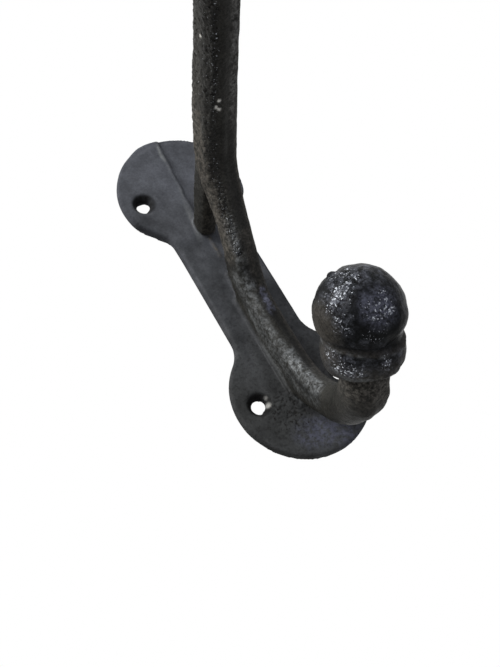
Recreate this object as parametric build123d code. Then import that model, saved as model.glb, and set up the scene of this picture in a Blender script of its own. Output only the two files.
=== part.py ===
"""Cast iron hat and coat hook: one casting with a back plate, a rib, two arms and two ball ends.

Millimetres. X runs to the right for someone facing the wall, +Y runs into the wall and +Z is up.
The origin is at the centre of the plate's back face, and both arms lie in the plane X = 0.
"""

from build123d import *
import math
import os

# Back plate: two round lobes joined by a straight waist
PLATE_THICKNESS = 4.0
LOBE_SPACING = 92.6
UPPER_LOBE_RADIUS = 24.2
LOWER_LOBE_RADIUS = 24.9
WAIST_WIDTH = 27.4
SHOULDER_ANGLE = 22.0
SHOULDER_ROUND = 9.0
SHOULDER_FOOT_Z = 26.8
FOOT_ROUND = 5.5
NOTCH_ROUND = 11.0
PLATE_EDGE_ROUND = 0.9

# Four countersunk screw holes, two in each lobe
HOLE_SPACING_X = 33.0
HOLE_SPACING_Z = 90.7
HOLE_DIAMETER = 5.6
COUNTERSINK_DIAMETER = 9.4
COUNTERSINK_DEPTH = 2.2

# Rib that stiffens the waist, rooted inside the plate
RIB_WIDTH = 9.4
RIB_HEIGHT = 11.3
RIB_CREST_ROUND = 4.0
RIB_ROOT_ROUND = 0.5
ROOT_DEPTH = 2.0

# Lower hook: a wide arc from the rib, then a tighter one to its round neck
HOOK_START_Z = -34.4
HOOK_RADIUS = 33.2
NECK_RADIUS = 29.3
HOOK_CHANGE_ANGLE = 60.0
HOOK_END_ANGLE = 125.0
HOOK_BEND_DEPTH = 11.8
HOOK_SECTIONS = 9
NECK_DIAMETER = 15.5

# Upper arm: it leaves the rib, sweeps out and runs straight at a slope
ARM_START_Z = -14.0
ARM_ROOT_WIDTH = 10.6
ARM_ROOT_DEPTH = 11.0
ARM_ROOT_Y = -13.0
ARM_ROOT_Z = -3.3
ARM_BEND_Y = -31.7
ARM_BEND_Z = 18.0
ARM_RUN_Y = -52.0
ARM_RUN_Z = 32.6
ARM_WIDTH = 11.8
ARM_DEPTH = 14.3
ARM_ROUND = 3.8
ARM_SLOPE = 14.4
ARM_SECTIONS = 9

# Short upturn at the end of the upper arm
TIP_Y = -102.5
TIP_DEPTH = 13.8
TIP_RADIUS = 30.0
TIP_TURN = 20.0
TIP_SECTIONS = 3

# Web that fills the corner where the upper arm leaves the plate, below the eye
WEB_BOTTOM_Z = -14.0
WEB_TOP_Z = 6.0
WEB_WIDTH = 3.6
WEB_ROUND = 0.5
WEB_END_Y = -17.0
WEB_END_BOTTOM_Z = -4.0
WEB_END_TOP_Z = 8.0
WEB_END_WIDTH = 10.0

# Strut from the plate to the back of the upper arm, which closes the eye above
STRUT_BOTTOM_Z = 23.0
STRUT_TOP_Z = 32.0
STRUT_WIDTH = 6.0
STRUT_ROUND = 2.8
STRUT_END_Y = -41.0
STRUT_END_BOTTOM_Z = 27.5
STRUT_END_TOP_Z = 36.8
STRUT_END_WIDTH = 9.6
STRUT_END_ROUND = 3.0

# Collar and ball at both ends, measured back from the ball's centre
BALL_RADIUS = 14.0
BALL_HALF_LENGTH = 13.3
GROOVE_OFFSET = 6.9
COLLAR_BAND_OFFSET = 11.5
COLLAR_RIM_OFFSET = 17.0
COLLAR_BAND_RADIUS = 13.0
COLLAR_RIM_RADIUS = 12.2
NECK_OFFSET = 15.2

FACE_Y = -PLATE_THICKNESS
NECK_ROUND = 0.48 * NECK_DIAMETER
CREST_Y = FACE_Y - RIB_HEIGHT
ROOT_Y = FACE_Y + ROOT_DEPTH
RIB_DEPTH = ROOT_Y - CREST_Y
RIB_MIDDLE_Y = (ROOT_Y + CREST_Y) / 2


def back_plate():
    """Dog-bone plate with its front edge rounded."""
    upper_z = LOBE_SPACING / 2
    lower_z = -LOBE_SPACING / 2
    half_waist = WAIST_WIDTH / 2
    angle = math.radians(SHOULDER_ANGLE)
    notch_z = lower_z + math.sqrt(LOWER_LOBE_RADIUS**2 - half_waist**2)
    top = (0, upper_z + UPPER_LOBE_RADIUS)
    side = (UPPER_LOBE_RADIUS, upper_z)
    shoulder = (UPPER_LOBE_RADIUS * math.cos(angle), upper_z - UPPER_LOBE_RADIUS * math.sin(angle))
    foot = (half_waist, SHOULDER_FOOT_Z)
    notch = (half_waist, notch_z)
    bottom = (0, lower_z - LOWER_LOBE_RADIUS)
    widest = (LOWER_LOBE_RADIUS, lower_z)
    right_edge = [
        ThreePointArc(top, arc_middle(top, side, (0, upper_z), UPPER_LOBE_RADIUS), shoulder),
        Line(shoulder, foot),
        Line(foot, notch),
        ThreePointArc(notch, widest, bottom),
    ]
    half = make_face(Wire(right_edge + [Line(bottom, top)]))
    for corner, radius in ((shoulder, SHOULDER_ROUND), (foot, FOOT_ROUND), (notch, NOTCH_ROUND)):
        half = fillet(half.vertices().sort_by_distance(corner + (0,))[0], radius)
    outline = Plane.XZ * (half + mirror(half, Plane.YZ))
    plate = extrude(outline, PLATE_THICKNESS)
    return fillet(plate.faces().sort_by(Axis.Y)[0].edges(), PLATE_EDGE_ROUND)


def arc_middle(start, end, centre, radius):
    """Point of a circle halfway between two of its points."""
    x = (start[0] + end[0]) / 2 - centre[0]
    y = (start[1] + end[1]) / 2 - centre[1]
    length = math.hypot(x, y)
    return (centre[0] + radius * x / length, centre[1] + radius * y / length)


def screw_holes():
    """The four countersunk holes as solids to be cut from the casting."""
    shank = Cylinder(HOLE_DIAMETER / 2, 3 * PLATE_THICKNESS)
    cone = Pos(0, 0, PLATE_THICKNESS - COUNTERSINK_DEPTH / 2) * Cone(
        HOLE_DIAMETER / 2, COUNTERSINK_DIAMETER / 2, COUNTERSINK_DEPTH
    )
    drill = Rot(90, 0, 0) * (shank + cone)
    return [
        Pos(x * HOLE_SPACING_X / 2, 0, z * HOLE_SPACING_Z / 2) * drill
        for x in (-1, 1)
        for z in (-1, 1)
    ]


def section(centre, along, width, depth, front_round, back_round):
    """Rounded section across the bar at a point (y, z) of its path, which runs from neck to tip."""
    outline = Rectangle(width, depth)
    outline = fillet(outline.vertices().group_by(Axis.Y)[0], front_round)
    outline = fillet(outline.vertices().group_by(Axis.Y)[-1], back_round)
    plane = Plane(origin=(0,) + centre, x_dir=(1, 0, 0), z_dir=(0,) + along)
    return plane * outline


def blend(start, end, share):
    return start + (end - start) * share


def ease(share):
    """Goes from 0 to 1 with no jump in slope at either end."""
    return share * share * (3 - 2 * share)


def hook_place(degrees):
    """Point of the lower hook's path an angle past the rib, and the direction back to the rib."""
    angle = math.radians(degrees)
    change = math.radians(HOOK_CHANGE_ANGLE)
    radius = HOOK_RADIUS
    centre_y = RIB_MIDDLE_Y - HOOK_RADIUS
    centre_z = HOOK_START_Z
    if degrees > HOOK_CHANGE_ANGLE:
        radius = NECK_RADIUS
        centre_y += (HOOK_RADIUS - NECK_RADIUS) * math.cos(change)
        centre_z -= (HOOK_RADIUS - NECK_RADIUS) * math.sin(change)
    point = (centre_y + radius * math.cos(angle), centre_z - radius * math.sin(angle))
    return point, (math.sin(angle), math.cos(angle))


def hook_sections():
    """Sections of the lower hook, from its neck back to the rib."""
    result = []
    for i in range(HOOK_SECTIONS, -1, -1):
        share = i / HOOK_SECTIONS
        point, along = hook_place(HOOK_END_ANGLE * share)
        leave = ease(min(1, 3 * share))
        grow = ease(max(0, min(1, 1.8 * share - 0.5)))
        width = blend(RIB_WIDTH, NECK_DIAMETER, grow)
        depth = blend(blend(RIB_DEPTH, HOOK_BEND_DEPTH, leave), NECK_DIAMETER, grow)
        front_round = blend(RIB_CREST_ROUND, NECK_ROUND, grow)
        back_round = blend(blend(RIB_ROOT_ROUND, RIB_CREST_ROUND, leave), NECK_ROUND, grow)
        result.append(section(point, along, width, depth, front_round, back_round))
    return result


def arm_sections():
    """Sections of the upper arm, from the rib out to its straight run."""
    slope = math.radians(ARM_SLOPE)
    path = Spline(
        (RIB_MIDDLE_Y, ARM_START_Z),
        (ARM_ROOT_Y, ARM_ROOT_Z),
        (ARM_BEND_Y, ARM_BEND_Z),
        (ARM_RUN_Y, ARM_RUN_Z),
        tangents=[(0, 1), (-math.cos(slope), math.sin(slope))],
    )
    result = []
    for i in range(ARM_SECTIONS + 1):
        share = i / ARM_SECTIONS
        point, along = path @ share, path % share
        root = ease(min(1, 3 * share))
        grow = ease(max(0, 2 * share - 1))
        width = blend(blend(RIB_WIDTH, ARM_ROOT_WIDTH, root), ARM_WIDTH, grow)
        depth = blend(blend(RIB_DEPTH, ARM_ROOT_DEPTH, root), ARM_DEPTH, grow)
        back_round = blend(RIB_ROOT_ROUND, ARM_ROUND, root)
        result.append(section((point.X, point.Y), (along.X, along.Y), width, depth, RIB_CREST_ROUND, back_round))
    return result


def tip_place(angle):
    """Point and direction of the upturn, an angle into its bend."""
    slope = math.radians(ARM_SLOPE)
    start_z = ARM_RUN_Z + (ARM_RUN_Y - TIP_Y) * math.tan(slope)
    centre_y = TIP_Y + TIP_RADIUS * math.sin(slope)
    centre_z = start_z + TIP_RADIUS * math.cos(slope)
    heading = slope + angle
    point = (centre_y - TIP_RADIUS * math.sin(heading), centre_z - TIP_RADIUS * math.cos(heading))
    return point, (-math.cos(heading), math.sin(heading))


def tip_sections():
    """Sections of the short upturn, which becomes round before its collar."""
    result = []
    for i in range(TIP_SECTIONS + 1):
        share = ease(i / TIP_SECTIONS)
        point, along = tip_place(math.radians(TIP_TURN) * i / TIP_SECTIONS)
        width = blend(ARM_WIDTH, NECK_DIAMETER, share)
        depth = blend(TIP_DEPTH, NECK_DIAMETER, share)
        front_round = blend(RIB_CREST_ROUND, NECK_ROUND, share)
        back_round = blend(ARM_ROUND, NECK_ROUND, share)
        result.append(section(point, along, width, depth, front_round, back_round))
    return result


def cross_piece(start, end):
    """Short bar from inside the plate to inside the arm, with a rounded section at both ends.

    Each end is its Y, its lowest and highest Z, its width and its corner radius.
    """
    outlines = []
    for y, bottom, top, width, corner in (start, end):
        outlines.append(section((y, (bottom + top) / 2), (-1, 0), width, top - bottom, corner, corner))
    return loft(outlines)


def web():
    """Fills the corner between the rib and the root of the upper arm."""
    return cross_piece(
        (ROOT_Y, WEB_BOTTOM_Z, WEB_TOP_Z, WEB_WIDTH, WEB_ROUND),
        (WEB_END_Y, WEB_END_BOTTOM_Z, WEB_END_TOP_Z, WEB_END_WIDTH, WEB_ROUND),
    )


def strut():
    """Holds the upper arm off the plate above the eye."""
    return cross_piece(
        (ROOT_Y, STRUT_BOTTOM_Z, STRUT_TOP_Z, STRUT_WIDTH, STRUT_ROUND),
        (STRUT_END_Y, STRUT_END_BOTTOM_Z, STRUT_END_TOP_Z, STRUT_END_WIDTH, STRUT_END_ROUND),
    )


def ball_end(place):
    """Collar and ball beyond the end of the bar, at a point and direction that look outward."""
    (y, z), (along_y, along_z) = place
    centre = (0, y + NECK_OFFSET * along_y, z + NECK_OFFSET * along_z)
    groove_radius = BALL_RADIUS * math.sqrt(1 - (GROOVE_OFFSET / BALL_HALF_LENGTH) ** 2)
    rim = (COLLAR_RIM_RADIUS, -COLLAR_RIM_OFFSET)
    band = (COLLAR_BAND_RADIUS, -COLLAR_BAND_OFFSET)
    groove = (groove_radius, -GROOVE_OFFSET)
    profile = make_face(
        Wire(
            [
                Line((0, -COLLAR_RIM_OFFSET), rim),
                ThreePointArc(rim, band, groove),
                Line(groove, (0, -GROOVE_OFFSET)),
                Line((0, -GROOVE_OFFSET), (0, -COLLAR_RIM_OFFSET)),
            ]
        )
    )
    collar = revolve(Plane.XZ * profile, Axis.Z)
    ball = scale(Sphere(1), by=(BALL_RADIUS, BALL_RADIUS, BALL_HALF_LENGTH))
    return Plane(origin=centre, x_dir=(1, 0, 0), z_dir=(0, along_y, along_z)) * (collar + ball)


def casting():
    """The whole hook as one solid."""
    bar = loft(hook_sections() + arm_sections() + tip_sections())
    neck, inward = hook_place(HOOK_END_ANGLE)
    lower_end = ball_end((neck, (-inward[0], -inward[1])))
    upper_end = ball_end(tip_place(math.radians(TIP_TURN)))
    hook = back_plate() + bar + web() + strut() + lower_end + upper_end
    for hole in screw_holes():
        hook = hook - hole
    return hook


os.makedirs("parts", exist_ok=True)
export_step(casting(), "parts/hook_casting.step")
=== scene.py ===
"""Dresses the cast iron hat and coat hook: its rough painted skin, its finish and a plain studio.

The scene is in metres in the part's own frame. X runs to the right for someone facing the wall,
+Y runs into the wall and +Z is up. The origin is at the centre of the plate's back face. Places
and heights on the skin are worked out in millimetres in the same frame.
"""

import math

import bpy
import numpy as np
from bpy.props import FloatProperty, FloatVectorProperty, PointerProperty
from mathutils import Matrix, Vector, noise


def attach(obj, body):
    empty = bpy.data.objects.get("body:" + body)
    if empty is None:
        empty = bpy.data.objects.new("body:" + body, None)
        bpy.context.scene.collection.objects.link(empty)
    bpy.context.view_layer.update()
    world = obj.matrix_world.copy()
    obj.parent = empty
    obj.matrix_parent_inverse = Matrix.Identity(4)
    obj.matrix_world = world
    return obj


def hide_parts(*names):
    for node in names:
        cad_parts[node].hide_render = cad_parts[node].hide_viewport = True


bl_info = {
    "name": "Cast Iron Coat Hook",
    "version": (1, 0, 0),
    "blender": (4, 5, 0),
    "location": "View3D > Sidebar > Coat Hook",
    "description": "Builds the looks of a cast iron hat and coat hook",
    "category": "Add Mesh",
}

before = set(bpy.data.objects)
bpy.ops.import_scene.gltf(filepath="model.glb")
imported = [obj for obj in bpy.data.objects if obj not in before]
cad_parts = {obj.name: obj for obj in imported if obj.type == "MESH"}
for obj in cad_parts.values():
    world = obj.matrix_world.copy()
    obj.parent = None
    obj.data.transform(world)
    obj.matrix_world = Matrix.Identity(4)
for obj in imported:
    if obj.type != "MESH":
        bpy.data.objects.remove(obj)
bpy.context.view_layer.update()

MM = 0.001
CASTING_NODE = "hook_casting"

# Where the casting's own parts lie, in millimetres
FACE_Y = -4.0
LOWER_BALL = (0.0, -69.1, -53.1)
UPPER_BALL = (0.0, -125.0, 58.8)
BALL_RADIUS = 14.0
LOWER_NECK = (0.0, -54.0, -66.0)
SCREW_X = 16.5
SCREW_Z = 45.35
SCREW_HEAD_RADIUS = 4.7

# Way that the lower hook's end points, and how far behind the ball's middle its collar's groove is
HOOK_END_AXIS = (0.0, -0.819, 0.574)
COLLAR_BACK = 7.6

# The roots of the rib and the strut on the plate, where the sharp corner is rounded off
ROOT_HALF_WIDTH = 9.0
ROOT_LOW_Z = -56.0
ROOT_FRONT_Y = FACE_Y - 3.5
ROOT_BACK_Y = FACE_Y + 0.6

# A skin with fewer points than this has gone wrong
FEWEST_POINTS = 1000

# The edge between the arm's left and front faces, where the sand left bubbly lumps, and its foot
ARM_EDGE = (
    (-4.8, -101.0, 39.5), (-4.8, -70.0, 31.6), (-4.6, -50.0, 25.5), (-4.3, -38.0, 18.0),
    (-3.8, -28.0, 6.5),
)
ARM_FOOT_EDGE = ((-4.4, -42.0, 21.5), (-4.3, -34.0, 14.0), (-3.6, -28.0, 6.5), (-3.0, -25.0, 2.5))

# The ragged crest down the rib, and the same down the front of the hook
RIB_CREST = (
    (-3.0, -22.6, 0.2), (-3.2, -17.4, -6.4), (-3.6, -14.6, -11.0), (-4.0, -13.6, -18.6),
    (-4.2, -13.2, -25.0), (-3.8, -13.8, -29.7), (-2.8, -14.7, -34.0),
)
HOOK_SCAR = ((-2.6, -15.0, -36.0), (-2.4, -15.6, -41.2), (-2.6, -17.7, -47.6), (-3.2, -21.5, -53.5))

# The smooth groove to the right of the rib's crest
CREST_GROOVE = ((0.9, -15.3, -21.0), (1.6, -15.2, -33.0), (1.9, -15.3, -38.0), (1.6, -16.8, -43.5))

# A raised run of paint on the plate's face, below the upper lobe, painted lighter as a highlight
PAINT_RUN = ((-0.5, FACE_Y, 22.5), (-0.8, FACE_Y, 14.0))

# Where the paint is lighter, as thin paint and as painted light on lit sides: the left faces of arm
# and rib, the arm's foot, the crest's top
ARM_LEFT_FACE = (
    (-5.7, -101.0, 46.5), (-5.8, -64.0, 39.5), (-5.9, -45.0, 31.5), (-5.5, -33.0, 21.0),
    (-5.0, -21.0, 6.5),
)
RIB_LEFT_FACE = (
    (-4.8, -16.0, -4.0), (-4.6, -12.0, -14.0), (-4.6, -10.5, -32.0), (-4.7, -13.0, -45.0),
    (-5.0, -19.0, -54.0),
)
ARM_FOOT_FRONT = ((1.4, -27.9, 5.4), (0.4, -21.9, -1.2), (-0.2, -16.8, -8.6))
CREST_TOP = (-2.9, -16.8, -7.4)

# Painted highlight lines: the collar's lip, the foot of the rib on its left, and the plate's ledges
# and waist
COLLAR_LIP = (
    (-12.3, -59.5, -63.0), (-11.0, -59.7, -66.9), (-7.0, -61.9, -70.6), (2.2, -62.3, -72.5),
)
RIB_FOOT = (
    (-4.7, -10.0, -13.0), (-4.7, -7.9, -18.3), (-4.8, -4.9, -26.0), (-4.8, -5.6, -38.0),
    (-4.0, -4.6, -47.0), (-2.9, -4.1, -50.5),
)
LEDGE = ((-1.6, FACE_Y, 42.0), (-3.2, FACE_Y, 31.0), (-4.4, FACE_Y, 23.0))
BRIGHT_LEDGE = ((0.2, FACE_Y, 67.8), (-0.5, FACE_Y, 64.0), (-0.2, FACE_Y, 61.0))
WAIST = ((8.5, FACE_Y, -5.0), (8.7, FACE_Y, -20.0))

# Patches of painted blue sheen, for reflections of the cool fill light: down the rib's crest, on
# the ball and across the lower lobe
BLUE_CREST = ((1.3, -15.5, -11.0), (0.5, -15.3, -19.0))
BLUE_BALL = (-1.0, -81.3, -59.0)
BLUE_LOBE = ((-6.0, FACE_Y, -62.0), (5.0, FACE_Y, -64.0), (6.0, FACE_Y, -69.0))

# Dark places: painted shade in the gutter down the hook's left and beside the upper lobe; the lower
# lobe's pits and stain
GUTTER = ((-4.7, -12.5, -41.5), (-4.7, -14.1, -47.2), (-4.8, -16.6, -52.5))
LOBE_PITS = (-8.0, FACE_Y, -51.0)
LOBE_STAIN = (-8.0, FACE_Y, -52.0)
LOBE_SHADE = (-21.0, FACE_Y, 33.0)

# A smooth spot on the ball's front, and where the lower hook's bend is fuller than its solid
GLASSY_SPOT = (-0.8, -82.5, -53.0)
BEND_RIGHT = (3.5, -42.0, -74.0)
BEND_BELOW = (0.0, -40.5, -74.0)

# Painted highlights: bright specks on the arm's beads, standing in for their glints
HIGHLIGHT_SPECKS = ((-5.3, -88.9, 42.5), (-2.9, -71.1, 30.4), (-3.8, -68.4, 30.2), (-2.9, -67.9, 29.9))
HIGHLIGHT_SPECK_RADIUS = 0.8

# Painted highlights on the lower left countersink's wall: centre, radius, share
COUNTERSINK_HIGHLIGHTS = (((-13.4, -2.6, -46.7), 1.7, 1.0), ((-13.1, -2.9, -43.6), 1.1, 0.5))

# Swellings on the lower ball and its collar: centre, radius, height
SWELLINGS = (
    ((-4.4, -74.3, -40.8), 2.0, 0.9), ((6.0, -75.5, -63.8), 7.0, 0.8),
    ((2.0, -63.8, -72.0), 4.5, 0.6),
)

# Dents where the arm leaves the rib: centre, radius, share of the full depth, and a clean one
DENTS = (
    ((-2.8, -23.9, 1.6), 1.3, 1.0), ((-1.5, -20.3, -3.2), 2.2, 0.9),
    ((-0.9, -18.5, -5.8), 1.9, 0.7), ((-0.1, -16.7, -8.7), 1.8, 0.6),
    ((0.4, -15.6, -12.8), 1.3, 0.4),
)
CLEAN_DENT = (-3.4, -16.7, -7.2)

# Where a grey sheen is painted on the ball's black paint, for its reflections: centre, radius,
# share
SHEENS = (
    ((-9.6, -78.4, -49.7), 8.5, 1.0), ((-4.0, -81.0, -48.0), 6.0, 1.0),
    ((-4.0, -78.0, -43.5), 7.0, 0.9), ((-0.4, -81.3, -59.5), 8.0, 1.0),
    ((-11.2, -76.0, -57.8), 6.0, 0.8), ((8.4, -78.7, -57.0), 8.0, 0.9),
    ((5.0, -80.0, -47.0), 10.0, 0.9), ((-11.9, -62.8, -61.0), 7.5, 0.8),
    ((-9.3, -64.1, -67.6), 6.5, 0.8), ((-1.1, -67.1, -70.2), 5.0, 0.7),
    ((3.0, -66.0, -71.0), 6.0, 0.6), ((-7.8, -72.0, -64.1), 4.5, 0.35),
    ((-9.7, -66.8, -64.1), 4.0, 0.80), ((-4.0, -68.8, -67.8), 4.5, 0.55),
    ((1.5, -69.1, -68.3), 4.0, 0.45), ((-2.2, -71.6, -66.3), 4.0, 0.35),
    ((1.0, -78.0, -43.0), 7.0, 0.80),
)

# Where glints are painted on the ball's and the collar's bubbles: centre, radius, share of bright
# ones
GLINTS = (
    ((-9.6, -78.4, -49.7), 8.5, 0.75), ((-4.0, -81.0, -48.0), 6.0, 0.80),
    ((-3.0, -78.0, -43.5), 6.0, 0.85), ((-0.6, -81.4, -58.8), 7.8, 1.0),
    ((-2.4, -81.0, -59.4), 6.0, 0.95), ((-11.2, -76.0, -57.8), 6.5, 0.80),
    ((-12.2, -63.5, -58.6), 4.5, 0.95), ((-11.9, -62.4, -64.2), 5.5, 0.90),
    ((-9.3, -64.1, -67.6), 5.0, 0.85), ((-1.1, -67.1, -70.2), 4.5, 0.66),
    ((-4.0, -76.0, -63.0), 7.0, 0.50),
)

# What the skin hands to the paint: a share from 0 to 1 of each, point by point
SHARES = (
    "bar", "ball", "worn", "blue", "grime", "scar", "glassy", "chips", "crest", "glint", "dull",
    "light", "sheen", "stain",
)

# Noises in the paint: waves per metre, detail, roughness
NOISES = {
    "cloud": (110.0, 5.0, 0.6),
    "drift": (230.0, 3.0, 0.6),
    "blotch": (420.0, 4.0, 0.6),
    "sheen": (520.0, 5.0, 0.72),
    "patch": (650.0, 4.0, 0.65),
    "stain": (800.0, 3.0, 0.7),
    "pit": (900.0, 3.0, 0.65),
    "fleck": (1400.0, 2.0, 0.6),
    "grit": (1500.0, 3.0, 0.7),
    "grain": (2600.0, 2.0, 0.6),
}

# Facets of painted sheen on the balls, per metre, and the waves that bend their edges
FACET_SCALE = 270.0
BEND_SCALE = 420.0
BEND_REACH = 2.2 * MM

# Beads in the scars' paint, per metre, and the height of the finest relief
BEAD_SCALE = 850.0
RELIEF_HEIGHT = 1.0 * MM

# Between these heights the plate's paint turns darker: painted shade, as if less light reached
# lower down
LIT_PLATE_Z = 50.0 * MM
SHADED_PLATE_Z = -45.0 * MM

# The studio, in metres: where the lamps point, the floor, and the camera with its turns in degrees
HOOK_MIDDLE = (0.0, -0.06, 0.0)
FLOOR_HALF_WIDTH = 1.5
FLOOR_ROUGHNESS = 0.9
CAMERA_PLACE = (-0.13371, -0.30848, -0.14865)
CAMERA_TURNS = (114.489, 28.420, -10.476)
SENSOR_WIDTH = 36.0

# Square lamps: name, direction from the hook's middle, distance, width, setting that holds the
# power, colour
LAMPS = (
    ("key_lamp", (-0.635, -0.257, 0.721), 0.8, 0.12, "key_power", (1.0, 0.99, 0.97)),
    ("side_window", (-0.60, -0.55, 0.58), 0.5, 0.25, "window_power", (0.96, 0.97, 1.0)),
    ("top_lamp", (0.15, -0.40, 0.90), 0.8, 0.15, "top_power", (1.0, 1.0, 1.0)),
    ("fill_panel", (0.415, -0.80, -0.486), 0.8, 0.22, "fill_power", (0.78, 0.82, 1.0)),
)


class HookCastingSettings(bpy.types.PropertyGroup):
    """Sizes of the casting's skin."""

    skin_step: FloatProperty(
        name="Skin step", description="Size of the skin's mesh squares",
        default=0.58 * MM, min=0.3 * MM, unit="LENGTH", precision=5,
    )
    mould_drop: FloatProperty(
        name="Mould drop", description="How much lower the left mould half sat",
        default=0.6 * MM, unit="LENGTH", precision=5,
    )
    mould_lift: FloatProperty(
        name="Mould lift", description="How much prouder the left mould half sat",
        default=0.5 * MM, unit="LENGTH", precision=5,
    )
    seam_height: FloatProperty(
        name="Seam height", description="Height of the seam left where the mould halves met",
        default=0.03 * MM, unit="LENGTH", precision=5,
    )
    wave_height: FloatProperty(
        name="Wave height", description="Height of the slow waves in the cast surface",
        default=0.16 * MM, unit="LENGTH", precision=5,
    )
    lump_height: FloatProperty(
        name="Lump height", description="Height of the small lumps left by the sand",
        default=0.10 * MM, unit="LENGTH", precision=5,
    )
    scar_height: FloatProperty(
        name="Scar height",
        description="Height of the bubbly lumps along the arm's and the rib's edge",
        default=0.38 * MM, unit="LENGTH", precision=5,
    )
    dent_depth: FloatProperty(
        name="Dent depth", description="Depth of the dents where the arm leaves the rib",
        default=0.9 * MM, unit="LENGTH", precision=5,
    )
    pit_depth: FloatProperty(
        name="Pit depth", description="Depth of the pits in the neck and in the lower lobe",
        default=0.17 * MM, unit="LENGTH", precision=5,
    )


class HookFinishSettings(bpy.types.PropertyGroup):
    """Colours and gloss of the paint, and the colours of its painted shade, sheen, glints and
    highlights.
    """

    plate_paint: FloatVectorProperty(
        name="Plate paint", description="Colour of the paint on the plate",
        default=(0.0375, 0.0395, 0.045), size=3, subtype="COLOR", min=0, max=1,
    )
    # Painted shade: the darker colour the plate is given towards its lower lobe
    shaded_plate_paint: FloatVectorProperty(
        name="Lower plate paint",
        description="Colour of the duller paint on the plate's lower lobe",
        default=(0.0268, 0.0276, 0.0276), size=3, subtype="COLOR", min=0, max=1,
    )
    arm_paint: FloatVectorProperty(
        name="Arm paint", description="Colour of the paint on the rib and the arms",
        default=(0.0135, 0.0131, 0.0115), size=3, subtype="COLOR", min=0, max=1,
    )
    ball_paint: FloatVectorProperty(
        name="Ball paint", description="Colour of the paint on the balls",
        default=(0.0035, 0.0038, 0.0040), size=3, subtype="COLOR", min=0, max=1,
    )
    # Thin paint, and painted light on the bar's lit sides and the lumps' tops
    wear_and_light_paint: FloatVectorProperty(
        name="Worn paint",
        description="Colour of the thin, dusty paint on the left faces and the neck",
        default=(0.052, 0.047, 0.040), size=3, subtype="COLOR", min=0, max=1,
    )
    # Painted highlights: the colour of the bright specks on the arm's beads and in the countersink
    highlight_speck_colour: FloatVectorProperty(
        name="Bare metal", description="Colour of the small chips in the paint",
        default=(0.42, 0.41, 0.38), size=3, subtype="COLOR", min=0, max=1,
    )
    # Painted reflection: the blue sheen of the cool fill light
    blue_sheen_colour: FloatVectorProperty(
        name="Blue sheen", description="Colour of the patches with a blue sheen",
        default=(0.048, 0.050, 0.066), size=3, subtype="COLOR", min=0, max=1,
    )
    # Rubbed paint, and painted light: the colour of the crest's lit lumps and of the highlight
    # lines
    rubbed_and_highlight_paint: FloatVectorProperty(
        name="Crest paint", description="Colour of the rubbed paint along the rib's rough crest",
        default=(0.085, 0.089, 0.090), size=3, subtype="COLOR", min=0, max=1,
    )
    # Painted reflection: the grey sheen on the balls
    sheen_paint: FloatVectorProperty(
        name="Sheen", description="Colour of the grey sheen on the balls",
        default=(0.055, 0.058, 0.068), size=3, subtype="COLOR", min=0, max=1,
    )
    # Painted shade: the dark colour laid in holes, grooves, creases and dents, and in the pits
    shade_and_dirt_paint: FloatVectorProperty(
        name="Grime", description="Colour of the dirt in hollows and screw holes",
        default=(0.004, 0.004, 0.004), size=3, subtype="COLOR", min=0, max=1,
    )
    stain_paint: FloatVectorProperty(
        name="Stains", description="Colour of the small dark stains",
        default=(0.008, 0.0075, 0.007), size=3, subtype="COLOR", min=0, max=1,
    )
    # Painted highlights: the colour of the glints painted on the bubbles
    glint_colour: FloatVectorProperty(
        name="Glints", description="Colour of the bubbles rubbed bright",
        default=(0.42, 0.44, 0.47), size=3, subtype="COLOR", min=0, max=1,
    )
    plate_roughness: FloatProperty(
        name="Plate roughness", description="Roughness of the plate's paint",
        default=0.46, min=0, max=1,
    )
    arm_roughness: FloatProperty(
        name="Arm roughness", description="Roughness of the arms' paint",
        default=0.40, min=0, max=1,
    )
    ball_roughness: FloatProperty(
        name="Ball roughness", description="Roughness of the balls' paint",
        default=0.28, min=0, max=1,
    )
    gloss: FloatProperty(
        name="Gloss", description="Strength of the paint's reflections seen straight on",
        default=0.07, min=0, max=1,
    )


class HookStageSettings(bpy.types.PropertyGroup):
    """Floor, lights and camera."""

    floor_height: FloatProperty(
        name="Floor height", description="Height of the studio floor",
        default=-0.55, unit="LENGTH",
    )
    floor_colour: FloatVectorProperty(
        name="Floor colour", description="Colour of the studio floor",
        default=(0.80, 0.80, 0.80), size=3, subtype="COLOR", min=0, max=1,
    )
    room_light: FloatProperty(
        name="Room light", description="Strength of the even light from all round",
        default=0.34, min=0,
    )
    key_power: FloatProperty(
        name="Key light", description="Power of the small lamp at the upper left",
        default=7.0, min=0, unit="POWER",
    )
    window_power: FloatProperty(
        name="Window light", description="Power of the wide cool light close by on the left",
        default=3.4, min=0, unit="POWER",
    )
    top_power: FloatProperty(
        name="Top light", description="Power of the lamp overhead",
        default=2.0, min=0, unit="POWER",
    )
    fill_power: FloatProperty(
        name="Fill light", description="Power of the cool panel at the lower right",
        default=1.4, min=0, unit="POWER",
    )
    lens: FloatProperty(
        name="Lens", description="Focal length on a 36 mm sensor",
        default=53.79, min=1, unit="CAMERA",
    )


def new_object(name, data):
    made = bpy.data.objects.new(name, data)
    bpy.context.scene.collection.objects.link(made)
    return made


def soften(piece, name, iterations, group=""):
    modifier = piece.modifiers.new(name, "SMOOTH")
    modifier.factor = 0.5
    modifier.iterations = iterations
    modifier.vertex_group = group


def apply_modifiers(piece):
    """Puts the modifiers' result in place of the piece's mesh."""
    bpy.context.view_layer.update()
    old = piece.data
    evaluated = piece.evaluated_get(bpy.context.evaluated_depsgraph_get())
    piece.data = bpy.data.meshes.new_from_object(evaluated)
    piece.modifiers.clear()
    bpy.data.meshes.remove(old)


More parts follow.
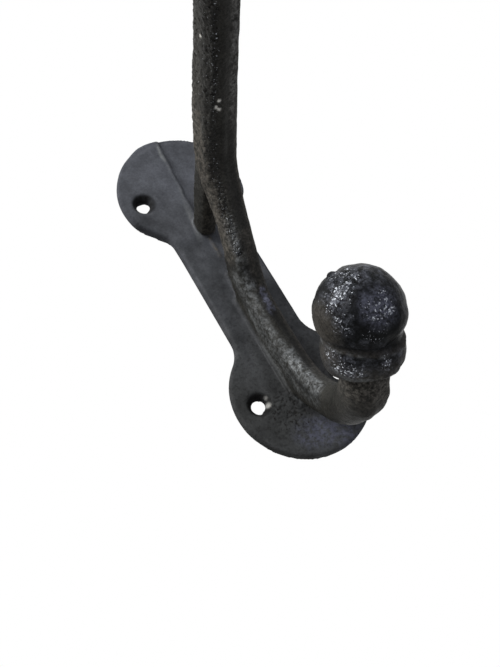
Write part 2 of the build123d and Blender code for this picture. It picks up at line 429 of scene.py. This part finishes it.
def even_skin(node, name, step):
    """Copy of a CAD node with its surface laid out again in even squares."""
    piece = new_object(name, node.data.copy())
    weld = piece.modifiers.new("Weld", "WELD")
    weld.merge_threshold = 0.001 * MM
    remesh = piece.modifiers.new("Even squares", "REMESH")
    remesh.mode = "VOXEL"
    remesh.voxel_size = step
    remesh.adaptivity = 0.0
    soften(piece, "Soften", 2)
    apply_modifiers(piece)
    piece.data.name = name
    x, y, z = read_vertices(piece.data)[0].T
    roots = (np.abs(x) < ROOT_HALF_WIDTH) & (z > ROOT_LOW_Z)
    roots &= (y > ROOT_FRONT_Y) & (y < ROOT_BACK_Y)
    group = piece.vertex_groups.new(name="roots")
    group.add(np.nonzero(roots)[0].tolist(), 1.0, "REPLACE")
    soften(piece, "Soften the roots", 16, "roots")
    apply_modifiers(piece)
    piece.vertex_groups.clear()
    return piece


def read_vertices(mesh):
    """Places in millimetres, and normals."""
    count = len(mesh.vertices)
    places = np.empty(count * 3, np.float32)
    mesh.vertices.foreach_get("co", places)
    normals = np.empty(count * 3, np.float32)
    mesh.vertices.foreach_get("normal", normals)
    return places.reshape(-1, 3).astype(float) / MM, normals.reshape(-1, 3).astype(float)


def write_vertices(mesh, places):
    mesh.vertices.foreach_set("co", (places * MM).astype(np.float32).ravel())
    mesh.update()


def write_share(mesh, name, values):
    layer = mesh.attributes.new(name, "FLOAT", "POINT")
    layer.data.foreach_set("value", np.clip(values, 0, 1).astype(np.float32))


def step_up(values, low, high):
    """0 below low, 1 above high and a soft step between."""
    share = np.clip((values - low) / (high - low), 0, 1)
    return share * share * (3 - 2 * share)


def bell(values, middle, width):
    """1 at the middle, falling away softly on both sides."""
    return np.exp(-(((values - middle) / width) ** 2))


def highest(*shares):
    """The largest of the shares at each point."""
    return np.max(shares, axis=0)


class Skin:
    """The casting's skin: its points, its normals and each point's share in the features.

    Such a share is 1 on the feature, 0 away from it, and between the two near its border.
    """

    def __init__(self, mesh):
        self.places, self.normals = read_vertices(mesh)
        if len(self.places) < FEWEST_POINTS:
            raise RuntimeError("the cast body's skin came out empty")
        self.find_parts()
        self.find_collar()
        self.find_scars()

    def near(self, centre, radius):
        """1 at a point, falling to 0 at the radius."""
        distance = np.linalg.norm(self.places - np.array(centre), axis=1)
        return 1 - step_up(distance, radius * 0.3, radius)

    def spots(self, marks, shift=(0.0, 0.0, 0.0)):
        """The largest share of several round marks, each with its centre, radius and share."""
        return highest(*(
            share * self.near(np.array(centre) + np.array(shift), radius)
            for centre, radius, share in marks
        ))

    def spots_on_both_ends(self, marks):
        """The same beside points on the lower ball and beside their like on the upper one."""
        shift = np.array(UPPER_BALL) - np.array(LOWER_BALL)
        return highest(self.spots(marks), self.spots(marks, shift))

    def beside(self, route, radius):
        """1 along a route from point to point, falling to 0 at the radius."""
        best = np.full(len(self.places), np.inf)
        for start, end in zip(route[:-1], route[1:]):
            start, line = np.array(start), np.array(end) - np.array(start)
            share = np.clip((self.places - start) @ line / (line @ line), 0, 1)
            distance = np.linalg.norm(self.places - start - share[:, None] * line, axis=1)
            best = np.minimum(best, distance)
        return 1 - step_up(best, radius * 0.3, radius)

    def waves(self, size, offset=0.0, squash=(1.0, 1.0, 1.0)):
        """Smooth noise from about -1 to 1, with waves of that size. The offset picks a pattern."""
        spots = self.places * np.array(squash) / size + offset
        return np.array([noise.noise(Vector(spot)) for spot in spots])

    def bubbles(self, size, offset=0.0):
        """Round lumps side by side, from about 0 in the gaps to 1 on their tops."""
        spots = self.places / size + offset
        return np.array([1 - noise.voronoi(Vector(spot))[0][0] ** 2 for spot in spots])

    def parting_x(self):
        """Where the mould halves meet: down the middle, slightly aslant and wavy on the plate."""
        y, z = self.places[:, 1], self.places[:, 2]
        on_plate = 1 - step_up(FACE_Y - y, 0.0, 2.0)
        aslant = 0.065 * (np.clip(z, 40.0, 72.0) - 54.0) * step_up(z, 20.0, 36.0)
        return on_plate * (0.3 + aslant + 0.13 * np.sin(0.55 * z))

    def find_parts(self):
        """Which part of the casting each point is on, and which way it faces."""
        x, y, z = self.places.T
        self.off_wall = step_up(-y, 0.3, 1.5)
        self.bar = step_up(FACE_Y - y, 0.0, 2.0)
        self.plate = 1 - self.bar
        self.plate_face = self.plate * self.off_wall
        self.upper_plate = self.plate * step_up(z, 20.0, 26.0)
        self.from_seam = x - self.parting_x()
        self.left = 1 - step_up(self.from_seam / (0.4 + 0.9 * self.bar), -1.0, 1.0)
        balls = [self.near(centre, BALL_RADIUS * 1.6) for centre in (LOWER_BALL, UPPER_BALL)]
        self.ball = step_up(highest(*balls), 0.0, 0.35)
        self.lower_end = self.near(LOWER_BALL, BALL_RADIUS * 2.6)
        self.neck = self.near(LOWER_NECK, 17.0) * (1 - self.ball)
        self.shank = self.bar * (1 - self.ball)
        self.strut = step_up(y, -43.0, -39.0) * step_up(z, 20.0, 23.0)
        self.arm = self.shank * step_up(z, 12.0, 20.0) * (1 - self.strut)
        self.arm_foot = step_up(y, -34.0, -24.0)
        self.arm_right = self.shank * step_up(z, 25.0, 32.0) * step_up(x, 0.0, 2.5)
        self.faces_left = step_up(-self.normals[:, 0], 0.45, 0.9)
        self.faces_right = step_up(self.normals[:, 0], 0.2, 0.8)

    def find_collar(self):
        """The lower collar's groove, rim and flat, a little aslant, and the ball's smooth spot."""
        axial = (self.places - np.array(LOWER_BALL)) @ np.array(HOOK_END_AXIS)
        slant = axial + COLLAR_BACK + 0.2 * np.clip(self.places[:, 0], -13.0, 4.0)
        self.collar_groove = self.ball * bell(slant, 0.0, 0.8)
        self.collar_rim = self.ball * bell(slant, -1.9, 0.5)
        flat = step_up(slant, -2.2, -1.7) * (1 - step_up(slant, -0.8, 0.4))
        self.collar_flat = self.ball * flat
        self.glassy = self.near(GLASSY_SPOT, 5.0)

    def find_scars(self):
        """The noises that several marks share, and the marks that the sand left."""
        self.slow = self.waves(7.0)
        self.middling = self.waves(2.6, 11.0)
        self.ragged = self.waves(1.0, 51.0)
        self.puffs = self.bubbles(1.9, 13.0) - 0.55
        self.scars = highest(0.6 * self.beside(ARM_EDGE, 5.0), self.beside(ARM_FOOT_EDGE, 3.6))
        self.beaded = self.scars * (0.35 + 0.65 * step_up(-self.places[:, 0], 1.2, 2.8))
        self.crest = highest(0.55 * self.beside(RIB_CREST, 3.2), self.beside(HOOK_SCAR, 3.8))
        self.dents = self.spots(DENTS)
        self.groove = self.beside(CREST_GROOVE, 2.2)
        self.paint_run = self.beside(PAINT_RUN, 0.9)
        pitted = highest(self.neck, self.near(LOBE_PITS, 13.0) * self.plate)
        grain = np.abs(self.waves(1.15, 31.0, squash=(1.0, 0.55, 1.0)))
        self.pits = pitted * step_up(grain, 0.2, 0.45)

    def sculpt(self, settings):
        """Height of the rough surface over the smooth one, in millimetres."""
        height = self.sand_marks(settings) + self.end_shape() + self.uneven_shape()
        return height * self.off_wall

    def sand_marks(self, settings):
        """Waves, lumps, scars, dents and pits, and the seam between the mould halves."""
        small = self.waves(1.3, 23.0)
        lumps = self.bubbles(1.25, 5.0) - 0.6
        rags = 0.5 + 0.6 * self.middling + 0.5 * self.ragged + 0.9 * self.puffs
        seam = bell(self.from_seam, 0.0, 0.5) * self.bar
        height = settings.wave_height * self.slow * (0.25 + 0.75 * self.bar)
        height += settings.lump_height * (self.middling + 0.6 * small) * (0.3 + 0.7 * self.bar)
        height += settings.scar_height * self.scars * (lumps + 0.3 * self.middling)
        height += settings.scar_height * self.crest * rags
        height += settings.seam_height * seam * (0.6 + 0.8 * self.slow)
        height -= settings.dent_depth * self.dents
        height -= settings.pit_depth * self.pits
        return height / MM - 0.35 * self.groove + 0.35 * self.paint_run

    def end_shape(self):
        """Lumps and swellings on the balls, and the collar's groove and rim."""
        lumps = 0.26 * self.waves(5.5, 3.0) + 0.30 * (self.bubbles(4.2, 9.0) - 0.7)
        lumps += 0.07 * self.waves(1.6, 17.0, squash=(0.5, 1.0, 1.6))
        height = lumps * self.ball * (1 - 0.8 * self.glassy)
        for centre, radius, rise in SWELLINGS:
            height += rise * self.near(centre, radius)
        return height - 0.45 * self.collar_groove + 0.20 * self.collar_rim

    def uneven_shape(self):
        """Where the casting is fuller or leaner than its solid: hook's bend, arm and lobes."""
        x, z = self.places[:, 0], self.places[:, 2]
        normal_x, normal_z = self.normals[:, 0], self.normals[:, 2]
        height = self.near(BEND_RIGHT, 9.0) * self.faces_right
        height += 0.7 * self.near(BEND_BELOW, 6.5) * step_up(-normal_z, 0.4, 0.9)
        height += 0.75 * self.shank * self.faces_left * step_up(z, 12.0, 30.0)
        height -= 0.75 * self.bar * self.beside(ARM_EDGE, 3.4)
        coarse = self.shank * step_up(z, 8.0, 16.0) * step_up(-x, 1.5, 3.5)
        height += coarse * (0.26 * self.waves(1.9, 71.0) + 0.22 * self.ragged)
        lobe_side = self.plate * step_up(np.abs(z), 15.0, 30.0) * (x < 2)
        height += 0.65 * lobe_side * step_up(0.6 * normal_z - normal_x, 0.3, 0.9)
        lobe_top = self.plate * step_up(x, -13.0, -6.0) * step_up(z, 60.0, 66.0)
        return height + 0.60 * lobe_top * step_up(normal_z, 0.3, 0.8)

    def shift_left_half(self, settings):
        """The left mould half sat a little lower and prouder than the right one."""
        moved = self.places
        lift = self.left * step_up(-moved[:, 1], 0.5, 3.0) * (self.bar + 1.4 * self.upper_plate)
        moved[:, 1] -= settings.mould_lift / MM * lift
        moved[:, 2] -= settings.mould_drop / MM * self.left * self.bar
        moved[:, 0] -= 0.6 * self.lower_end


def wear_and_light_share(skin, height):
    """Thin, dusty paint on the neck and collar, and painted light on the bar's lit sides, the
    lumps' tops and the arm's foot.
    """
    y, z = skin.places[:, 1], skin.places[:, 2]
    left_face = skin.beside(ARM_LEFT_FACE, 7.5) * (1 - step_up(-z, 2.0, 8.0)) * skin.faces_left
    collar_side = skin.ball * step_up(-skin.places[:, 0], 10.5, 13.5)
    return highest(
        skin.neck,
        # Painted light on the left faces that face the lamps, more of it towards the root
        left_face * (0.08 + 0.75 * step_up(y, -85.0, -40.0)),
        # Painted light on the shank's right faces
        skin.shank * skin.faces_right * (0.4 + 0.45 * step_up(z, 0.0, 15.0)),
        # Painted light along the far left edge of the ball and collar
        0.7 * collar_side * (1 - step_up(-y, 74.0, 78.0)),
        # Painted light on the lumps' tops, more at the arm's foot
        0.6 * skin.beaded * step_up(height, 0.0, 0.25) * (0.3 + 0.7 * skin.arm_foot),
        0.40 * skin.beside(ARM_FOOT_FRONT, 3.5),
        # Painted light on the strut's underside
        0.45 * skin.bar * skin.strut * step_up(-skin.normals[:, 2], 0.2, 0.7),
        # The paint run, painted lighter as a highlight along it
        0.8 * skin.paint_run,
        0.45 * skin.collar_flat,
        # Painted light on the arm's right side
        0.85 * skin.arm_right,
    )


def rubbed_and_lit_share(skin):
    """Paint rubbed grey along the crest, and painted light on its lumps, the arm's edges and the
    rib's lit left face.
    """
    return highest(
        # Lump tops lighter than their hollows: painted light on the crest's lumps
        skin.crest * (0.72 + 0.4 * skin.ragged + 0.9 * skin.puffs),
        # Painted light on the rib's left face, which faces the lamps
        0.42 * skin.beside(RIB_LEFT_FACE, 6.5) * skin.faces_left,
        0.42 * skin.beaded * step_up(-skin.places[:, 2], -16.0, -6.0),
        # Painted highlight on the crest's top
        0.9 * skin.near(CREST_TOP, 4.0),
        # Painted light on the arm's right side
        0.38 * skin.arm_right,
        0.12 * skin.neck,
    )


def blue_sheen_share(skin):
    """Painted blue sheen, for reflections of the cool fill light, on the crest, the ball and the
    lower lobe.
    """
    return highest(
        skin.beside(BLUE_CREST, 2.4),
        0.85 * skin.near(BLUE_BALL, 8.0),
        0.7 * skin.plate_face * skin.beside(BLUE_LOBE, 8.0),
    )


def glint_share(skin):
    """Share of painted glints on the balls, the collars, the arm's edge and the hook's front."""
    x, y = skin.places[:, 0], skin.places[:, 1]
    edge_row = step_up(-x, 2.5, 3.5) * (1 - step_up(-x, 4.9, 5.6))
    glint = highest(
        0.05 * skin.ball,
        skin.spots_on_both_ends(GLINTS),
        skin.beaded * (0.40 + 0.30 * skin.arm_foot),
        0.45 * skin.arm * edge_row,
        0.25 * skin.arm * skin.faces_left * step_up(-y, 30.0, 60.0),
        0.28 * skin.beside(HOOK_SCAR, 4.0),
    )
    return glint * (1 - skin.glassy)


def dull_share(skin):
    """Rougher paint on the plate's rounded edges and the bar's right side."""
    tilted = step_up(1 + skin.normals[:, 1], 0.03, 0.15)
    tilted *= 1 - step_up(FACE_Y - skin.places[:, 1], 1.5, 5.0)
    return highest(tilted, 0.8 * skin.faces_right * skin.shank)


def shade_and_dirt_share(skin, patchy, countersink_highlights):
    """Painted shade in the screw holes, beside the plate's seam and in the hollows, and darker
    pits.
    """
    x, y, z = skin.places.T
    screw = np.hypot(np.abs(x) - SCREW_X, np.abs(z) - SCREW_Z)
    hole = 1 - step_up(screw, SCREW_HEAD_RADIUS - 0.7, SCREW_HEAD_RADIUS + 0.2)
    seam = bell(skin.from_seam - 0.25 * patchy, 0.2, 0.30) * (z > 36)
    outer_edge = skin.arm * skin.beside(ARM_EDGE, 10.0) * skin.faces_left
    chamfer = skin.arm * skin.beside(ARM_EDGE, 4.5) * skin.faces_left
    grime = highest(
        # Painted shade in the screw holes
        skin.plate_face * hole,
        # Painted shade: a dark line along the seam, and a painted shadow to its right
        skin.plate_face * seam * (0.30 + 0.60 * step_up(patchy, -0.2, 0.3)),
        0.36 * skin.plate_face * bell(skin.from_seam, 1.2, 1.1) * (z > 36),
        0.45 * skin.plate_face * skin.near(LOBE_SHADE, 14.0),
        # Painted shade in the groove beside the crest and the gutter down the hook's left
        0.8 * skin.groove,
        0.6 * skin.beside(GUTTER, 1.3),
        # Painted shade on the arm's left faces near its edge, broken up by noise
        0.6 * outer_edge * step_up(-y, 60.0, 78.0),
        0.6 * chamfer * step_up(skin.waves(1.6, 61.0), -0.35, 0.15),
        # Painted shade in the dents, with one left clean
        0.6 * skin.dents * (1 - skin.near(CLEAN_DENT, 2.5)),
        # Darker pits
        0.8 * skin.pits,
        # Painted shade in the collar's groove
        0.6 * skin.collar_groove,
    )
    # Less painted shade under the painted highlights in the countersink
    return grime * (1 - 0.8 * countersink_highlights)


def highlight_share(skin, patchy):
    """Painted highlights on ledges, rims and the plate's waist."""
    upper_ledge = bell(skin.from_seam, -0.8, 0.5) * (skin.places[:, 2] > 40)
    ledge = skin.plate_face * highest(upper_ledge, skin.beside(LEDGE, 1.6))
    return highest(
        ledge * (0.22 + 0.4 * step_up(patchy, -0.3, 0.3)),
        skin.plate_face * skin.beside(BRIGHT_LEDGE, 0.9),
        0.2 * skin.plate_face * skin.beside(WAIST, 4.0),
        0.55 * skin.collar_rim * step_up(skin.waves(2.2, 47.0), -0.3, 0.4),
        0.7 * skin.beside(COLLAR_LIP, 1.1) * step_up(patchy, -0.6, 0.1),
        0.45 * skin.beside(RIB_FOOT, 1.0) * step_up(patchy, -0.7, 0.0),
    )


def stain_share(skin):
    """Small dark stains on the lower lobe, the arm's outer end and the neck."""
    x, y, z = skin.places.T
    return highest(
        0.9 * skin.plate_face * skin.near(LOBE_STAIN, 15.0),
        0.35 * skin.plate_face * step_up(-z, -5.0, 25.0),
        0.9 * skin.arm * step_up(-x, 2.8, 4.0) * step_up(-y, 58.0, 75.0),
        0.7 * skin.neck,
    )


def paint_shares(skin, height):
    """Each point's share of every kind of paint and wear, under the names in SHARES."""
    patchy = skin.waves(4.0, 41.0)
    # Painted highlights on the lower left countersink's wall
    countersink_highlights = skin.spots(COUNTERSINK_HIGHLIGHTS)
    # Painted highlight specks on the arm's beads and in the countersink
    chips = highest(*(skin.near(chip, HIGHLIGHT_SPECK_RADIUS) for chip in HIGHLIGHT_SPECKS), 0.40 * countersink_highlights)
    return {
        "bar": skin.bar,
        "ball": skin.ball,
        "worn": wear_and_light_share(skin, height),
        "blue": blue_sheen_share(skin),
        "grime": shade_and_dirt_share(skin, patchy, countersink_highlights),
        "scar": skin.scars,
        "glassy": skin.glassy,
        "chips": chips,
        "crest": rubbed_and_lit_share(skin),
        "glint": glint_share(skin),
        "dull": dull_share(skin),
        "light": highlight_share(skin, patchy),
        # Painted sheen on both balls, for their reflections
        "sheen": skin.spots_on_both_ends(SHEENS),
        "stain": stain_share(skin),
    }


class HOOK_OT_casting(bpy.types.Operator):
    """Builds the rough cast skin over the whole hook"""

    bl_idname = "coat_hook.casting"
    bl_label = "Cast Iron Body"

    def execute(self, context):
        settings = context.scene.hook_casting
        step = settings.skin_step * 1
        piece = even_skin(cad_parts[CASTING_NODE], "cast_body", step)
        mesh = piece.data
        skin = Skin(mesh)
        height = skin.sculpt(settings)
        shares = paint_shares(skin, height)
        skin.places += skin.normals * height[:, None]
        skin.shift_left_half(settings)
        write_vertices(mesh, skin.places)
        for name in SHARES:
            write_share(mesh, name, shares[name])
        mesh.shade_smooth()
        mesh.materials.clear()
        mesh.materials.append(black_paint(context.scene.hook_finish))
        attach(piece, "root")
        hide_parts(CASTING_NODE)
        return {"FINISHED"}


class NodeTree:
    """Short ways to add and join shader nodes."""

    def __init__(self, tree):
        self.tree = tree
        self.tree.nodes.clear()

    def add(self, kind, values=None, **settings):
        node = self.tree.nodes.new(kind)
        for key, value in settings.items():
            setattr(node, key, value)
        for key, value in (values or {}).items():
            self.fill(node.inputs[key], value)
        return node

    def fill(self, socket, value):
        """Joins another node's output to a socket, or gives the socket a plain value."""
        if isinstance(value, bpy.types.NodeSocket):
            self.tree.links.new(value, socket)
        else:
            socket.default_value = value

    def math(self, operation, a, b=0.0, c=0.0):
        return self.add("ShaderNodeMath", {0: a, 1: b, 2: c}, operation=operation).outputs[0]

    def vector_math(self, operation, values):
        return self.add("ShaderNodeVectorMath", values, operation=operation).outputs[0]

    def product(self, first, *others):
        for other in others:
            first = self.math("MULTIPLY", first, other)
        return first

    def map_range(self, value, low, high, to_low, to_high):
        values = {
            "Value": value, "From Min": low, "From Max": high, "To Min": to_low, "To Max": to_high,
        }
        return self.add("ShaderNodeMapRange", values).outputs[0]

    def between(self, share, low, high):
        """Number from low, where the share is 0, to high, where it is 1."""
        return self.map_range(share, 0.0, 1.0, low, high)

    def mixed(self, share, a, b):
        """The same, but not held within a and b where the share goes beyond 0 or 1."""
        return self.math("MULTIPLY_ADD", share, self.math("SUBTRACT", b, a), a)

    def mix(self, share, a, b, blend="MIX"):
        """Colour from a, where the share is 0, to b, where it is 1."""
        node = self.add("ShaderNodeMix", {0: share}, data_type="RGBA", blend_type=blend)
        for index, value in ((6, a), (7, b)):
            if not isinstance(value, bpy.types.NodeSocket):
                value = tuple(value)[:3] + (1.0,)
            self.fill(node.inputs[index], value)
        return node.outputs[2]


class PaintNodes(NodeTree):
    """The paint's nodes, with the skin's shares and the paint's noises at hand."""

    def __init__(self, tree):
        super().__init__(tree)
        self.place = self.add("ShaderNodeTexCoord").outputs["Object"]
        self.on = {name: self.share(name) for name in SHARES}
        self.noises = {name: self.noise(*values) for name, values in NOISES.items()}

    def share(self, name):
        return self.add("ShaderNodeAttribute", attribute_name=name).outputs["Fac"]

    def noise(self, scale, detail, roughness):
        values = {"Vector": self.place, "Scale": scale, "Detail": detail, "Roughness": roughness}
        return self.add("ShaderNodeTexNoise", values).outputs["Fac"]

    def ranged(self, name, low, high, to_low, to_high):
        """One of the paint's noises, spread over another range."""
        return self.map_range(self.noises[name], low, high, to_low, to_high)

    def beads(self, scale):
        """0 at the middle of each round bead, rising to its edge."""
        values = {"Vector": self.place, "Scale": scale}
        node = self.add("ShaderNodeTexVoronoi", values, feature="F1")
        return self.math("POWER", node.outputs["Distance"], 2.0)

    def bent_place(self, scale, reach):
        """Each point's place moved a little, a different way from spot to spot."""
        values = {"Vector": self.place, "Scale": scale, "Detail": 2.0}
        shift = self.add("ShaderNodeTexNoise", values).outputs["Color"]
        shift = self.vector_math("SUBTRACT", {0: shift, 1: (0.5, 0.5, 0.5)})
        shift = self.vector_math("SCALE", {0: shift, "Scale": reach})
        return self.vector_math("ADD", {0: self.place, 1: shift})


def ball_facets(nodes):
    """Painted facets on the balls, each lighter or darker than the next, with painted shade in the
    cracks.
    """
    cells = {"Vector": nodes.bent_place(BEND_SCALE, BEND_REACH), "Scale": FACET_SCALE}
    facet = nodes.add("ShaderNodeTexVoronoi", cells, feature="F1").outputs["Color"]
    facet = nodes.add("ShaderNodeSeparateColor", {0: facet}).outputs[0]
    facet = nodes.mixed(nodes.on["ball"], 1.0, nodes.map_range(facet, 0.1, 0.9, 0.6, 1.25))
    crack = nodes.add("ShaderNodeTexVoronoi", cells, feature="DISTANCE_TO_EDGE")
    crack = nodes.map_range(crack.outputs["Distance"], 0.01, 0.07, 0.25, 1.0)
    return nodes.product(facet, nodes.mixed(nodes.on["ball"], 1.0, crack))


def paint_colour(nodes, settings, facets, stained):
    """Paint of the plate, the bar and the balls, and the wear, stains and painted light over it,
    layer by layer.
    """
    on = nodes.on
    # The plate darkens towards the bottom: painted shade for less light lower down
    level = nodes.add("ShaderNodeSeparateXYZ", {0: nodes.place}).outputs["Z"]
    drop = nodes.map_range(level, LIT_PLATE_Z, SHADED_PLATE_Z, 0.0, 1.0)
    sheen = nodes.product(on["sheen"], nodes.ranged("sheen", 0.42, 0.62, 0.0, 1.0), facets)
    patchy = nodes.ranged("patch", 0.40, 0.60, 0.10, 1.25)
    worn = nodes.product(on["worn"], nodes.mixed(on["ball"], patchy, 0.7))
    grime = nodes.product(on["grime"], nodes.ranged("blotch", 0.3, 0.6, 1.0, 0.75))
    base = nodes.mix(drop, settings.plate_paint, settings.shaded_plate_paint)
    for share, paint in (
        (on["bar"], settings.arm_paint),
        (on["ball"], settings.ball_paint),
        # Painted sheen on the balls, broken into facets
        (sheen, settings.sheen_paint),
        # Thin paint, and painted light on lit sides and lump tops
        (worn, settings.wear_and_light_paint),
        # Painted blue sheen
        (nodes.product(on["blue"], patchy), settings.blue_sheen_colour),
        # Rubbed crest, with painted light on its lumps and lit faces
        (nodes.product(on["crest"], patchy), settings.rubbed_and_highlight_paint),
        # Painted highlight lines on ledges, rims and edges
        (nodes.product(on["light"], 0.85), settings.rubbed_and_highlight_paint),
        # Painted shade in holes, grooves and creases, and darker pits
        (grime, settings.shade_and_dirt_paint),
        (stained, settings.stain_paint),
    ):
        base = nodes.mix(share, base, paint)
    base = nodes.mix(1.0, base, mottling(nodes), "MULTIPLY")
    # Painted glints on the bubbles
    base = nodes.mix(glitter(nodes, facets), base, settings.glint_colour)
    # Painted highlight specks
    return nodes.mix(on["chips"], base, settings.highlight_speck_colour)


def mottling(nodes):
    """Grey around 1 that makes the paint lighter and darker, more so on the bar."""
    bar = nodes.on["bar"]
    shade = nodes.ranged("cloud", 0.3, 0.7, nodes.between(bar, 0.74, 0.65), 1.26)
    dark_fleck, light_fleck = nodes.between(bar, 0.86, 0.5), nodes.between(bar, 1.14, 1.5)
    flecks = nodes.ranged("fleck", 0.3, 0.7, dark_fleck, light_fleck)
    shade = nodes.product(shade, flecks, nodes.ranged("drift", 0.3, 0.7, 0.82, 1.18))
    return nodes.add("ShaderNodeCombineColor", {0: shade, 1: shade, 2: shade}).outputs[0]


def glitter(nodes, facets):
    """Painted glints: specks of bright bubbles, more of them where the share of glints is higher.
    """
    glint = nodes.product(nodes.on["glint"], facets)
    grit = nodes.math("SUBTRACT", nodes.noises["grit"], nodes.between(glint, 0.72, 0.50))
    speck = nodes.map_range(grit, 0.0, 0.11, 0.0, 1.0)
    return nodes.product(speck, nodes.map_range(glint, 0.0, 0.15, 0.0, 1.0))


def paint_roughness(nodes, settings):
    """Satin plate and glossy balls and scars, all rougher where the paint is blotched or dusty."""
    on = nodes.on
    rough = nodes.between(on["bar"], settings.plate_roughness, settings.arm_roughness)
    glossy = nodes.math("MAXIMUM", on["ball"], on["scar"])
    rough = nodes.between(glossy, rough, settings.ball_roughness)
    rough = nodes.math("ADD", rough, nodes.ranged("blotch", 0.35, 0.65, 0.0, 0.12))
    dusty = nodes.math("MAXIMUM", on["dull"], on["worn"])
    return nodes.math("ADD", rough, nodes.between(dusty, 0.0, 0.4))


def paint_relief(nodes):
    """Grain, pits and beads too fine for the mesh."""
    on = nodes.on
    grain = nodes.product(nodes.noises["grain"], 0.35)
    height = nodes.math("MULTIPLY_ADD", nodes.noises["pit"], 0.65, grain)
    height = nodes.product(height, nodes.between(on["bar"], 0.08, 0.32))
    height = nodes.product(height, nodes.between(on["ball"], 1.0, 0.6))
    beads = nodes.product(nodes.beads(BEAD_SCALE), nodes.product(on["scar"], -0.6))
    values = {
        "Strength": nodes.between(on["glassy"], 1.0, 0.15),
        "Distance": RELIEF_HEIGHT,
        "Height": nodes.math("ADD", height, beads),
    }
    return nodes.add("ShaderNodeBump", values).outputs[0]


def black_paint(settings):
    """Black paint over rough iron: satin on the plate, glossy and bubbly on the arms and balls."""
    material = bpy.data.materials.new("black_paint_on_cast_iron")
    material.use_nodes = True
    nodes = PaintNodes(material.node_tree)
    facets = ball_facets(nodes)
    stained = nodes.product(nodes.on["stain"], nodes.ranged("stain", 0.52, 0.64, 0.0, 1.0))
    gloss = nodes.between(nodes.on["ball"], settings.gloss, 0.5 * settings.gloss)
    shader = nodes.add("ShaderNodeBsdfPrincipled", {
        "Base Color": paint_colour(nodes, settings, facets, stained),
        "Roughness": paint_roughness(nodes, settings),
        "Specular IOR Level": nodes.map_range(stained, 0.0, 0.8, gloss, 0.0),
        "Normal": paint_relief(nodes),
    })
    nodes.add("ShaderNodeOutputMaterial", {"Surface": shader.outputs[0]})
    return material


def add_floor(settings):
    """Wide plain floor."""
    half = FLOOR_HALF_WIDTH
    corners = [(-half, -half, 0), (half, -half, 0), (half, half, 0), (-half, half, 0)]
    mesh = bpy.data.meshes.new("studio_floor")
    mesh.from_pydata(corners, [], [(0, 1, 2, 3)])
    floor = new_object("studio_floor", mesh)
    floor.location.z = settings.floor_height
    material = bpy.data.materials.new("studio_floor")
    material.use_nodes = True
    shader = material.node_tree.nodes["Principled BSDF"]
    shader.inputs["Base Color"].default_value = tuple(settings.floor_colour) + (1.0,)
    shader.inputs["Roughness"].default_value = FLOOR_ROUGHNESS
    mesh.materials.append(material)


def studio_world(settings):
    """Plain white all round, with a gentler level for the light it throws."""
    world = bpy.data.worlds.new("studio")
    bpy.context.scene.world = world
    world.use_nodes = True
    nodes = NodeTree(world.node_tree)
    path = nodes.add("ShaderNodeLightPath")
    seen = nodes.math("MAXIMUM", path.outputs["Is Camera Ray"], path.outputs["Is Glossy Ray"])
    seen = nodes.math("MAXIMUM", seen, path.outputs["Is Transmission Ray"])
    strength = nodes.between(seen, settings.room_light, 1.0)
    background = nodes.add("ShaderNodeBackground", {"Color": (1, 1, 1, 1), "Strength": strength})
    nodes.add("ShaderNodeOutputWorld", {"Surface": background.outputs[0]})


def add_lamp(name, direction, distance, width, power, colour):
    """Square lamp in a direction from the hook's middle, facing it."""
    lamp = bpy.data.lights.new(name, "AREA")
    lamp.shape = "RECTANGLE"
    lamp.size = lamp.size_y = width
    lamp.energy = power
    lamp.color = colour
    placed = new_object(name, lamp)
    placed.location = Vector(HOOK_MIDDLE) + Vector(direction).normalized() * distance
    facing = Vector(HOOK_MIDDLE) - placed.location
    placed.rotation_euler = facing.to_track_quat("-Z", "Y").to_euler()


def add_camera(settings):
    """Camera in front of the hook, below it and to its left."""
    camera = bpy.data.cameras.new("camera")
    camera.lens = settings.lens
    camera.sensor_width = SENSOR_WIDTH
    camera.clip_start = 0.01
    placed = new_object("camera", camera)
    placed.location = CAMERA_PLACE
    placed.rotation_euler = [math.radians(turn) for turn in CAMERA_TURNS]
    bpy.context.scene.camera = placed


class HOOK_OT_stage(bpy.types.Operator):
    """Sets up the floor, the lights and the camera"""

    bl_idname = "coat_hook.stage"
    bl_label = "Studio"

    def execute(self, context):
        settings = context.scene.hook_stage
        add_floor(settings)
        studio_world(settings)
        for name, direction, distance, width, power, colour in LAMPS:
            add_lamp(name, direction, distance, width, getattr(settings, power), colour)
        add_camera(settings)
        return {"FINISHED"}


class HOOK_PT_panel(bpy.types.Panel):
    """Lists what builds the coat hook"""

    bl_idname = "HOOK_PT_panel"
    bl_label = "Coat Hook"
    bl_space_type = "VIEW_3D"
    bl_region_type = "UI"
    bl_category = "Coat Hook"

    def draw(self, context):
        scene = context.scene
        for title, settings, operator in (
            ("Casting", scene.hook_casting, HOOK_OT_casting),
            ("Finish", scene.hook_finish, None),
            ("Studio", scene.hook_stage, HOOK_OT_stage),
        ):
            box = self.layout.box()
            box.label(text=title)
            for name in settings.__annotations__:
                box.prop(settings, name)
            if operator:
                box.operator(operator.bl_idname)


GROUPS = {
    "hook_casting": HookCastingSettings,
    "hook_finish": HookFinishSettings,
    "hook_stage": HookStageSettings,
}
CLASSES = list(GROUPS.values()) + [HOOK_OT_casting, HOOK_OT_stage, HOOK_PT_panel]


def register():
    for cls in CLASSES:
        bpy.utils.register_class(cls)
    for name, cls in GROUPS.items():
        setattr(bpy.types.Scene, name, PointerProperty(type=cls))


def unregister():
    for name in GROUPS:
        delattr(bpy.types.Scene, name)
    for cls in reversed(CLASSES):
        bpy.utils.unregister_class(cls)


def main():
    register()
    bpy.context.scene.view_settings.view_transform = "Standard"
    bpy.ops.coat_hook.casting()
    bpy.ops.coat_hook.stage()


if __name__ == "__main__":
    main()
